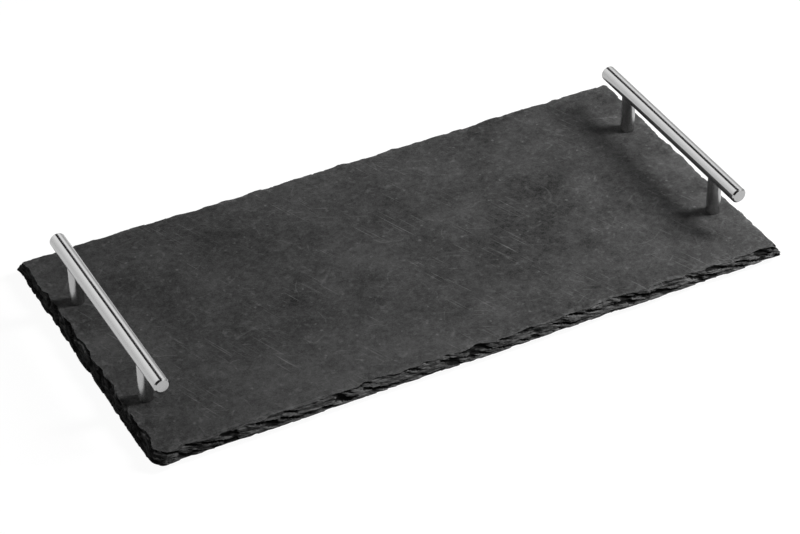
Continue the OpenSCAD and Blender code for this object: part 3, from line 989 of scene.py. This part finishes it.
# %% Polished bars, posts and caps
LINE, LINE_LENGTH = 0.12 * MM, 3 * MM
POLISH_DEPTH, TURNED_DEPTH = 0.002 * MM, 0.006 * MM
round_bar = lines(LINE_LENGTH, LINE, LINE_LENGTH)
round_post = lines(LINE_LENGTH, LINE_LENGTH, LINE)
bar_steel = steel(
    "polished_bar_steel", tone=0.5, roughness=0.17, line_depth=POLISH_DEPTH,
    fine_lines=round_bar, round_axis="Y")
post_steel = steel(
    "polished_post_steel", tone=0.44, roughness=0.16, line_depth=POLISH_DEPTH,
    fine_lines=round_post, round_axis="Z")
cap_steel = steel(
    "turned_cap_steel", tone=0.45, roughness=0.16, line_depth=TURNED_DEPTH,
    fine_lines=turned_rings)
print("finishes:", bar_steel.name, post_steel.name, cap_steel.name)

# %% [markdown]
# ## Fixing steel and washer steel
# Screws, studs and washers are plain satin steel, rougher than the handles because nobody polishes
# what is hidden. One steel could serve for all, but each shows how it was worked: the screws keep
# short lines from the pressing, and the washers the rolling lines of the strip that they were
# punched from. `steel` makes both, with other lines and roughness.

# %% Satin steels
SATIN_DEPTH = 0.01 * MM
pressed = lines(0.5 * MM, 0.5 * MM, LINE)
rolled = lines(0.3 * MM, 4 * MM, 4 * MM)
fixing_steel = steel(
    "satin_fixing_steel", tone=0.5, roughness=0.3, line_depth=SATIN_DEPTH, fine_lines=pressed)
washer_steel = steel(
    "satin_washer_steel", tone=0.56, roughness=0.33, line_depth=SATIN_DEPTH, fine_lines=rolled)
print("finishes:", fixing_steel.name, washer_steel.name)

# %% [markdown]
# ## Foot rubber
# The feet are black rubber with a fine moulded skin and a little dust. A plain black would look
# like a hole, so a slow noise greys it and a fine one roughens its skin.

# %% Foot rubber
SKIN, DUST = 0.5 * MM, 5 * MM
DUST_TONE, RUBBER_TONE, RUBBER_SPECULAR = 0.03, 0.018, 0.35
SKIN_ROUGH, RUBBER_ROUGH, SKIN_BUMP, SKIN_DEPTH = 0.2, 0.6, 0.4, 0.06 * MM
rubber, tree, where, shader = new_material("foot_rubber")
skin = noise(tree, where, SKIN, detail=3, roughness=0.6)
tone = calc(tree, "MULTIPLY_ADD", noise(tree, where, DUST, detail=3), DUST_TONE, RUBBER_TONE)
rough = calc(tree, "MULTIPLY_ADD", skin, SKIN_ROUGH, RUBBER_ROUGH)
bump = put(tree, "ShaderNodeBump", {"Strength": SKIN_BUMP, "Distance": SKIN_DEPTH, "Height": skin})
finish_shader(
    tree, shader, Base_Color=tone, Roughness=rough, Specular_IOR_Level=RUBBER_SPECULAR,
    Normal=bump.outputs[0])
print("finish:", rubber.name)

# %% [markdown]
# ## Rings of points
# Every round piece of this board is made like something turned on a lathe. A ring is one turn:
# points round an upright axis, at one radius. Blender's own circle is always flat, but the upper
# end of a post isn't, so a ring's height may be one number or one for each point.

# %% A turn of the lathe
SEGMENTS = 96
TURN = np.arange(SEGMENTS) * 2 * np.pi / SEGMENTS


def ring(radius, height):
    height = np.broadcast_to(height, TURN.shape)
    return np.stack([radius * np.cos(TURN), radius * np.sin(TURN), height], axis=1)


print("points in a ring:", len(ring(1, 0)))

# %% [markdown]
# ## Skins from rings
# Rings in order along a profile, joined to their neighbours, make a closed skin. A Screw modifier
# could turn a profile too, but it can't follow a bar as the upper end of a post does, so `loft`
# makes the skins of all round pieces.

# %% Lofting
def loft(name, rings, start_pole=None, end_pole=None):
    """Joins rings in order. Without poles the last ring is joined to the first one."""
    n = len(rings[0])
    points = [p for ring in rings for p in ring]
    pairs = [(i, i + 1) for i in range(len(rings) - 1)]
    faces = []
    if start_pole is None:
        pairs.append((len(rings) - 1, 0))
    for low, high in pairs:
        for j in range(n):
            k = (j + 1) % n
            faces.append((low * n + j, low * n + k, high * n + k, high * n + j))
    if start_pole is not None:
        first, last = len(points), len(rings) - 1
        points += [start_pole, end_pole]
        for j in range(n):
            k = (j + 1) % n
            faces.append((first, k, j))
            faces.append((last * n + j, last * n + k, first + 1))
    return new_object(name, points, faces)


print("sides of a lofted skin:", SEGMENTS)

# %% [markdown]
# ## Turned solids
# `turned` makes the solid of a profile and lays it upright, to the rear or to the front. Turning
# the object itself would be shorter, but then a pattern on Object coordinates would turn with it,
# so the points are turned instead.

# %% Turning a profile
def turned(name, profile, turn_to, centre):
    """A solid turned from (radius, height) points, set in place by turn_to and centre."""
    rings = [turn_to(ring(r, z)) + centre for r, z in profile if r > 0]
    if profile[0][0] > 0:
        return loft(name, rings)
    poles = [turn_to(np.array([[0, 0, z]]))[0] + centre for z in (profile[0][1], profile[-1][1])]
    return loft(name, rings, *poles)


def upright(p):
    return p


def to_rear(p):
    return np.stack([p[:, 0], p[:, 2], -p[:, 1]], axis=1)


def to_front(p):
    return np.stack([p[:, 0], -p[:, 2], p[:, 1]], axis=1)


print("a rear end points along", to_rear(np.array([[0, 0, 1]]))[0])

# %% [markdown]
# ## Drilling
# A Boolean modifier takes one solid out of another, as a drill does. Its fast solver can fail where
# faces lie in one plane, so the exact one is used. Nothing needs the drill afterwards, so it is
# deleted, and the piece keeps a plain mesh.

# %% Cutting
def cut(piece, cutter):
    """Takes the cutter's solid out of the piece."""
    saw = piece.modifiers.new("cut", "BOOLEAN")
    saw.operation = "DIFFERENCE"
    saw.solver = "EXACT"
    saw.object = cutter
    without_modifiers(piece)
    bpy.data.objects.remove(cutter)


# %% [markdown]
# ## A finish and a place for each piece
# Every piece from here on ends in the same way: it gets its finish, it rides on the root body, and
# it takes its CAD node's place. These lines could stand under each piece, but one helper keeps
# them alike.

# %% Dressing a piece
def dress(piece, node, material, angle=SHARP_ANGLE):
    """Gives a piece its finish and its CAD node's place."""
    piece.data.materials.clear()
    piece.data.materials.append(material)
    shade(piece, angle)
    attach(piece, "root")
    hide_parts(node)


# %% [markdown]
# ## The bars
# A bar is a drawn steel tube. Blender's cylinder has faces as long as the tube, and a hole drilled
# in them shades badly, so the tube is lofted in short lengths. A stud passes through each of the
# two holes into a post, so the holes are in the tube's underside only.

# %% Bar tubes
BAR_WALL, BORE_RADIUS = 1.2 * MM, 2.05 * MM
RING_PITCH, DRILL_LENGTH = 3 * MM, BAR_RADIUS * 1.2
bore = BAR_RADIUS - BAR_WALL

for side in SIDES:
    node = f"{side}_bar_tube"
    low, high = box_of(node)
    half = (high[1] - low[1]) / 2
    steps = np.linspace(-half, half, round(2 * half / RING_PITCH) + 1)
    profile = [(BAR_RADIUS, z) for z in steps] + [(bore, z) for z in steps[::-1]]
    tube = turned(f"drawn_{node}", profile, to_rear, place_of(node))
    for end in ("rear", "front"):
        post = place_of(f"{side}_{end}_post")
        drill_profile = [(0, 0), (BORE_RADIUS, 0), (BORE_RADIUS, DRILL_LENGTH), (0, DRILL_LENGTH)]
        drill_start = np.array([post[0], post[1], BAR_AXIS - DRILL_LENGTH])
        cut(tube, turned("drill", drill_profile, upright, drill_start))
    dress(tube, node, bar_steel)
    print(node, "has", len(tube.data.polygons), "faces")

# %% [markdown]
# ## Softened corners
# No real edge is quite sharp: a file or the tumbler breaks it. A profile is a list of radius and
# height, as on a turner's drawing, and `soften` rounds its corners before the skin is made. A
# Bevel modifier could round them afterwards, with more faces and less say over which.

# %% Softening a profile
CORNER_STEPS = 4


def soften(profile, radii):
    """Rounds the corners of a profile; radii has one value for each of its points."""
    out = []
    for i, (corner, radius) in enumerate(zip(profile, radii)):
        corner = np.array(corner)
        if radius == 0:
            out.append(corner)
            continue
        before = np.array(profile[i - 1]) - corner
        after = np.array(profile[(i + 1) % len(profile)]) - corner
        start = corner + before / np.linalg.norm(before) * radius
        end = corner + after / np.linalg.norm(after) * radius
        for t in np.linspace(0, 1, CORNER_STEPS + 1):
            out.append((1 - t) ** 2 * start + 2 * t * (1 - t) * corner + t * t * end)
    return out


print("points in a softened corner:", CORNER_STEPS + 1)

# %% [markdown]
# ## The end caps
# A turned cap closes each end of a tube. A flat disc would close it too, but the photograph shows
# a rim with a dark crescent inside, and a chamfer draws both. The spigot fits inside the tube with
# a hair's gap. The flat end reaches the CAD node's own end, so the bar keeps its length.

# %% End caps
EDGE_ROUND, CAP_SHARP_ANGLE = 0.15 * MM, 25
CAP_THICKNESS, CAP_CHAMFER = 1.6 * MM, 1.0 * MM
SPIGOT_GAP, SPIGOT_DEPTH = 0.05 * MM, 5 * MM
spigot, lead_in = bore - SPIGOT_GAP, CAP_CHAMFER / 2
cap_corners = [
    (0, -SPIGOT_DEPTH), (spigot - lead_in, -SPIGOT_DEPTH), (spigot, lead_in - SPIGOT_DEPTH),
    (spigot, 0), (BAR_RADIUS, 0), (BAR_RADIUS, CAP_THICKNESS - CAP_CHAMFER),
    (BAR_RADIUS - CAP_CHAMFER, CAP_THICKNESS), (0, CAP_THICKNESS)]
cap_profile = soften(cap_corners, [0, 0, 0, 0, 0, EDGE_ROUND, EDGE_ROUND, 0])
for place in PLACES:
    node = f"{place}_end_cap"
    low, high = box_of(node)
    rear = place.endswith("rear")
    seat = high[1] - CAP_THICKNESS if rear else low[1] + CAP_THICKNESS
    centre = np.array([(low[0] + high[0]) / 2, seat, BAR_AXIS])
    cap = turned(f"turned_{node}", cap_profile, to_rear if rear else to_front, centre)
    dress(cap, node, cap_steel, CAP_SHARP_ANGLE)
print("end caps:", len(PLACES))

# %% [markdown]
# ## The posts
# A post is turned too, and its upper end is hollowed to the bar's round underside, so that it seats
# without a gap. A Boolean cut would leave slivers there, so the upper rings are lifted to the
# bar's underside instead. Bores in both ends take the fixing screw and the stud.

# %% Posts
SCREW_BORE, STUD_GRIP = 10.5 * MM, 6 * MM
WALL_STEPS, SEAT_STEPS, FOOT_STRIP = 8, 6, 1 * MM
post_low, post_high = box_of("left_rear_post")
POST_RADIUS = (post_high[0] - post_low[0]) / 2


def under_bar(radius):
    """How high the bar's underside is, all round a post's ring of this radius."""
    return BAR_AXIS - np.sqrt(BAR_RADIUS ** 2 - (radius * np.cos(TURN)) ** 2)


for place in PLACES:
    node = f"{place}_post"
    low, high = box_of(node)
    middle = np.array([(low[0] + high[0]) / 2, (low[1] + high[1]) / 2, 0])
    strip = low[2] + FOOT_STRIP
    foot_corners = soften(
        [(BORE_RADIUS, low[2]), (POST_RADIUS, low[2]), (POST_RADIUS, strip)], [0, EDGE_ROUND, 0])
    rings = [ring(BORE_RADIUS, low[2] + SCREW_BORE)] + [ring(r, z) for r, z in foot_corners]
    rise = under_bar(POST_RADIUS) - strip
    rings += [ring(POST_RADIUS, strip + rise * k / WALL_STEPS) for k in range(1, WALL_STEPS + 1)]
    seat_radii = np.linspace(POST_RADIUS, BORE_RADIUS, SEAT_STEPS + 1)[1:]
    rings += [ring(r, under_bar(r)) for r in seat_radii]
    bottom = BAR_AXIS - BAR_RADIUS - STUD_GRIP
    rings.append(ring(BORE_RADIUS, bottom))
    bore_ends = [middle + [0, 0, z] for z in (low[2] + SCREW_BORE, bottom)]
    post = loft(f"turned_{node}", [r + middle for r in rings], *bore_ends)
    dress(post, node, post_steel)
print("posts:", len(PLACES), "each of", len(post.data.polygons), "faces")

# %% [markdown]
# ## A cutter for the screw's recess
# The walls of a pressed recess slope, so that the punch comes out again. A plain box would cut
# upright ones, so the cutter is a bar that narrows upwards.

# %% A cutter for the recess
RECESS_TAPER = 0.55


def slanted_bar(length, width, low, high, turn, centre):
    """A cutter with sloping walls, full size at its mouth `low` and tapered at `high`."""
    points = []
    c, s = math.cos(turn), math.sin(turn)
    for z, share in ((low, 1.0), (high, RECESS_TAPER)):
        for x, y in ((-1, -1), (1, -1), (1, 1), (-1, 1)):
            x, y = x * length / 2 * share, y * width / 2 * share
            points.append((x * c - y * s + centre[0], x * s + y * c + centre[1], z + centre[2]))
    faces = [(3, 2, 1, 0), (4, 5, 6, 7), (0, 1, 5, 4), (1, 2, 6, 5), (2, 3, 7, 6), (3, 0, 4, 7)]
    return new_object("recess", points, faces)


print("the recess narrows to", round(RECESS_TAPER * 100), "percent")

# %% [markdown]
# ## Fixing screws
# These are hidden in the photograph. A screw comes up through a washer and the slate into its
# post. Its low domed head has a pressed cross recess. A bump could hint at the recess, but the
# mesh would lack it, so two crossed cutters take it out.

# %% Fixing screws
SCREW_RADIUS, LEAD = 2 * MM, 0.5 * MM
HEAD_HEIGHT, DOME_START, DOME_STEPS, HEAD_EDGE = 2.2 * MM, 0.35, 14, 0.1 * MM
RECESS_LENGTH, RECESS_WIDTH, RECESS_DEPTH = 4.5 * MM, 1.0 * MM, 1.3 * MM


def make_screw(place, centre, tip):
    """A domed screw: its head lies below centre's height, and its shank ends `tip` above it."""
    head = (box_of(f"{place}_fixing_screw")[1][0] - box_of(f"{place}_fixing_screw")[0][0]) / 2
    dome = [(head * math.sin(t), -HEAD_HEIGHT * (DOME_START + (1 - DOME_START) * math.cos(t)))
            for t in np.linspace(0, math.pi / 2, DOME_STEPS)]
    shank = [(SCREW_RADIUS, 0), (SCREW_RADIUS, tip - LEAD), (SCREW_RADIUS - LEAD, tip), (0, tip)]
    profile = dome + [(head, -HEAD_EDGE), (head - HEAD_EDGE, 0)] + shank
    screw = turned(f"pressed_{place}_fixing_screw", profile, upright, centre)
    mouth, recess_end = -HEAD_HEIGHT - LEAD, RECESS_DEPTH - HEAD_HEIGHT
    for turn in (0, math.pi / 2):
        cut(screw, slanted_bar(RECESS_LENGTH, RECESS_WIDTH, mouth, recess_end, turn, centre))
    dress(screw, f"{place}_fixing_screw", fixing_steel)


print("screw recess:", round(RECESS_DEPTH / MM, 1), "mm deep")

# %% [markdown]
# ## Washers and studs
# A washer spreads the screw's load, because slate cracks where it is pressed at a point. It is
# punched from strip, so its edges are slightly rounded. A stud is a length of rod with both ends
# chamfered, to start easily in its hole. A cut-off cylinder would do for either, but its hard
# edges would catch no light, so both are turned from a profile.

# %% Washers and studs
WASHER_PLAY, HOLE_ROUND = 0.15 * MM, 0.08 * MM


def make_washer(place, centre):
    low, high = box_of(f"{place}_washer")
    outer, thick = (high[0] - low[0]) / 2, high[2] - low[2]
    hole = SCREW_RADIUS + WASHER_PLAY
    corners = [(hole, 0), (outer, 0), (outer, thick), (hole, thick)]
    profile = soften(corners, [HOLE_ROUND, EDGE_ROUND, EDGE_ROUND, HOLE_ROUND])
    start = np.array([centre[0], centre[1], low[2]])
    washer = turned(f"pressed_{place}_washer", profile, upright, start)
    dress(washer, f"{place}_washer", washer_steel)


def make_stud(place, centre):
    low, high = box_of(f"{place}_post_stud")
    rod, long = (high[0] - low[0]) / 2, high[2] - low[2]
    profile = [(0, 0), (rod - LEAD, 0), (rod, LEAD), (rod, long - LEAD), (rod - LEAD, long), (0, long)]
    start = np.array([centre[0], centre[1], low[2]])
    stud = turned(f"cut_{place}_post_stud", profile, upright, start)
    dress(stud, f"{place}_post_stud", fixing_steel)


print("play round a screw in its washer:", WASHER_PLAY / MM, "mm")

# %% [markdown]
# ## Feet
# The feet are low rubber buttons, taller than the screw heads, so the steel never scratches the
# table. A half ball would touch the table at one point only, so the flat sole lies inside a rim
# that is rounded like a quarter of a circle.

# %% Feet
SOLE_SHARE, RIM_STEPS = 0.75, 12


def make_foot(place):
    low, high = box_of(f"{place}_foot")
    wide, tall = (high[0] - low[0]) / 2, high[2] - low[2]
    sole = wide * SOLE_SHARE
    rim = [(sole + (wide - sole) * math.sin(t), (wide - sole) * (1 - math.cos(t)))
           for t in np.linspace(0, math.pi / 2, RIM_STEPS)]
    upper = soften([rim[-1], (wide, tall), (0, tall)], [0, EDGE_ROUND, 0])[1:]
    profile = [(0, 0), (sole / 2, 0)] + rim + upper
    middle = np.array([(low[0] + high[0]) / 2, (low[1] + high[1]) / 2, 0])
    foot = turned(f"moulded_{place}_foot", profile, upright, middle)
    dress(foot, f"{place}_foot", rubber)


print("flat part of a sole:", SOLE_SHARE * 100, "percent of its width")

# %% [markdown]
# ## The fixings in place
# Under each post its screw, washer and stud share one upright line, and a foot stands near each
# corner. Instances would repeat them with less data, but each of them has a CAD node of its own
# to replace, so each is a mesh of its own.

# %% Placing the fixings
for place in PLACES:
    low, high = box_of(f"{place}_fixing_screw")
    seat = low[2] + HEAD_HEIGHT
    centre = np.array([(low[0] + high[0]) / 2, (low[1] + high[1]) / 2, seat])
    make_screw(place, centre, high[2] - seat)
    make_washer(place, centre)
    make_stud(place, centre)
    make_foot(place)

# %% [markdown]
# ## The floor
# The floor is plain and nearly white. A floor lit to pure white would throw much light back at the
# board, so its paper glows white only for the camera and in reflections, and stays dark grey for
# the light that bounces. A tenth of what is seen is lit paper, which keeps the soft shadow.

# %% Floor
FLOOR_HALF = 4
FLOOR_GLOW, FLOOR_TONE, FLOOR_BOUNCE = 0.9, 0.9, 0.12
FLOOR_LIGHT, FLOOR_MIRRORED = 1.06, 0.95
floor_corners = [(x * FLOOR_HALF, y * FLOOR_HALF, 0) for x, y in CORNER_SIGNS]
floor = new_object("floor", floor_corners, [(0, 1, 2, 3)])
paper, tree, where, shader = new_material("white_paper")
tree.nodes.remove(shader)
path = tree.nodes.new("ShaderNodeLightPath").outputs
seen = calc(tree, "MAXIMUM", path["Is Camera Ray"], path["Is Glossy Ray"])
paper_tone = spread(tree, seen, 0, 1, to_low=FLOOR_BOUNCE, to_high=FLOOR_TONE)
paper_light = spread(tree, path["Is Glossy Ray"], 0, 1, to_low=FLOOR_LIGHT, to_high=FLOOR_MIRRORED)
matt = put(tree, "ShaderNodeBsdfDiffuse", {"Color": paper_tone})
glow = put(tree, "ShaderNodeEmission", {"Color": (1, 1, 1, 1), "Strength": paper_light})
share = calc(tree, "MULTIPLY", seen, FLOOR_GLOW)
mixed = put(tree, "ShaderNodeMixShader", {0: share, 1: matt.outputs[0], 2: glow.outputs[0]})
tree.links.new(mixed.outputs[0], tree.nodes["Material Output"].inputs["Surface"])
floor.data.materials.append(paper)
print("floor:", 2 * FLOOR_HALF, "m wide")

# %% [markdown]
# ## What the steel mirrors
# Polished steel shows its surroundings more than its own colour. Here it mirrors two pale panels
# with a dark gap between them, which draws the thin dark line along each bar. Real panels would
# also light the slate, so they are painted into the world, where only reflections see them.

# %% Panels
GAP_ANGLE, GAP_HALF, GAP_SOFT, GAP_LIGHT = math.radians(81), math.radians(17), 0.15, 0.02
LEFT_TURN, LEFT_LIGHT = (math.radians(95), math.radians(190)), (0.98, 0.62)
RIGHT_TURN, RIGHT_LIGHT = (math.radians(0), math.radians(52)), (0.25, 1.0)
studio = bpy.data.worlds.new("studio")
bpy.context.scene.world = studio
studio.use_nodes = True
tree = studio.node_tree
tree.nodes.clear()
way = tree.nodes.new("ShaderNodeTexCoord").outputs["Generated"]
x, _, z = put(tree, "ShaderNodeSeparateXYZ", {0: way}).outputs
angle = calc(tree, "ARCTAN2", z, x)
from_gap = calc(tree, "ABSOLUTE", calc(tree, "SUBTRACT", angle, GAP_ANGLE))
gap_start, gap_end = GAP_HALF * (1 - GAP_SOFT), GAP_HALF * (1 + GAP_SOFT)
panel = spread(tree, from_gap, gap_start, gap_end, to_low=GAP_LIGHT)
left_panel = spread(tree, angle, *LEFT_TURN, *LEFT_LIGHT)
right_panel = spread(tree, angle, *RIGHT_TURN, *RIGHT_LIGHT)
print("gap between the panels:", round(math.degrees(2 * GAP_HALF)), "degrees")

# %% [markdown]
# ## The dark patch and the sky
# A dark patch at the front left draws the crescent on the bars' chamfered ends. A black card in
# the room would shade the board as well, so the patch is painted into the world too. The sky is
# white to the camera and nearly black as a light, so that the lamps alone shape the slate.

# %% World
DARK_SIDE = Vector((-0.62, -0.69, 0.38)).normalized()
DARK_TURN, DARK_LIGHT = (0.72, 0.86), 0.03
FILL, PANEL_LIGHT = 0.02, 1.4
toward = put(
    tree, "ShaderNodeVectorMath", {0: way, 1: DARK_SIDE}, operation="DOT_PRODUCT").outputs["Value"]
dark_patch = spread(tree, toward, *DARK_TURN, to_low=1, to_high=DARK_LIGHT)
panel = calc(tree, "MULTIPLY", panel, dark_patch)
panels = calc(tree, "MINIMUM", left_panel, right_panel)
mirrored = calc(tree, "MULTIPLY", calc(tree, "MULTIPLY", panel, PANEL_LIGHT), panels)
path = tree.nodes.new("ShaderNodeLightPath").outputs
unseen = spread(tree, path["Is Glossy Ray"], 0, 1, to_low=FILL, to_high=mirrored)
strength = spread(tree, path["Is Camera Ray"], 0, 1, to_low=unseen)
sky = put(tree, "ShaderNodeBackground", {"Color": (1, 1, 1, 1), "Strength": strength})
put(tree, "ShaderNodeOutputWorld", {"Surface": sky.outputs[0]})
print("world nodes:", len(tree.nodes))

# %% [markdown]
# ## Lamps
# One soft lamp, taller than it is wide, stands near the board at its right. The slate grows darker
# to the left, and the handles cast a wide soft shadow. A sun lamp would light the whole sheet
# evenly and draw hard shadows. A wider lamp, farther off and at a lower angle, fills from the same
# side, and a weak one grazes the left edge.

# %% Lamps
BOARD_MIDDLE, LEFT_EDGE = (0, 0, 0), (-0.2, 0, 0)


def lamp(name, place, target, wide, tall, watts):
    data = bpy.data.lights.new(name, "AREA")
    data.shape = "ELLIPSE"
    data.size = wide
    data.size_y = tall
    data.energy = watts
    light = bpy.data.objects.new(name, data)
    light.location = place
    light.rotation_euler = (Vector(target) - Vector(place)).to_track_quat("-Z", "Y").to_euler()
    light.visible_camera = False
    light.visible_glossy = False
    bpy.context.scene.collection.objects.link(light)
    return light


key = lamp("key", (0.60, -0.17, 0.57), BOARD_MIDDLE, wide=0.24, tall=0.40, watts=10.4)
low_key = lamp("low_key", (1.5, -0.5, 1.1), BOARD_MIDDLE, wide=1.2, tall=1.2, watts=6)
side_fill = lamp("side_fill", (-1.2, -0.25, 0.22), LEFT_EDGE, wide=0.5, tall=0.5, watts=0.8)
print("lamps:", ", ".join(light.name for light in (key, low_key, side_fill)))

# %% [markdown]
# ## Camera
# Turning a camera by eye comes near the photograph's view, but a fit can be measured, so the lens,
# distance and direction were worked out from the photograph's edges, bars and posts. A long lens
# from 1.6 m away keeps the far edge of the board nearly as wide as the near one.

# %% Camera
AZIMUTH, ELEVATION = math.radians(-27.93), math.radians(37.556)
TARGET, DISTANCE = Vector((-0.0062, -0.0110, 0.0100)), 1.597
LENS_MM, SENSOR_MM = 124.7, 36
back = Vector((
    math.sin(AZIMUTH) * math.cos(ELEVATION), -math.cos(AZIMUTH) * math.cos(ELEVATION),
    math.sin(ELEVATION)))
lens = bpy.data.cameras.new("camera")
lens.lens = LENS_MM
lens.sensor_width = SENSOR_MM
camera = bpy.data.objects.new("camera", lens)
camera.location = TARGET + back * DISTANCE
camera.rotation_euler = (-back).to_track_quat("-Z", "Y").to_euler()
bpy.context.scene.collection.objects.link(camera)
bpy.context.scene.camera = camera
bpy.context.scene.view_settings.view_transform = "Standard"
print("camera at", [round(value, 3) for value in camera.location])
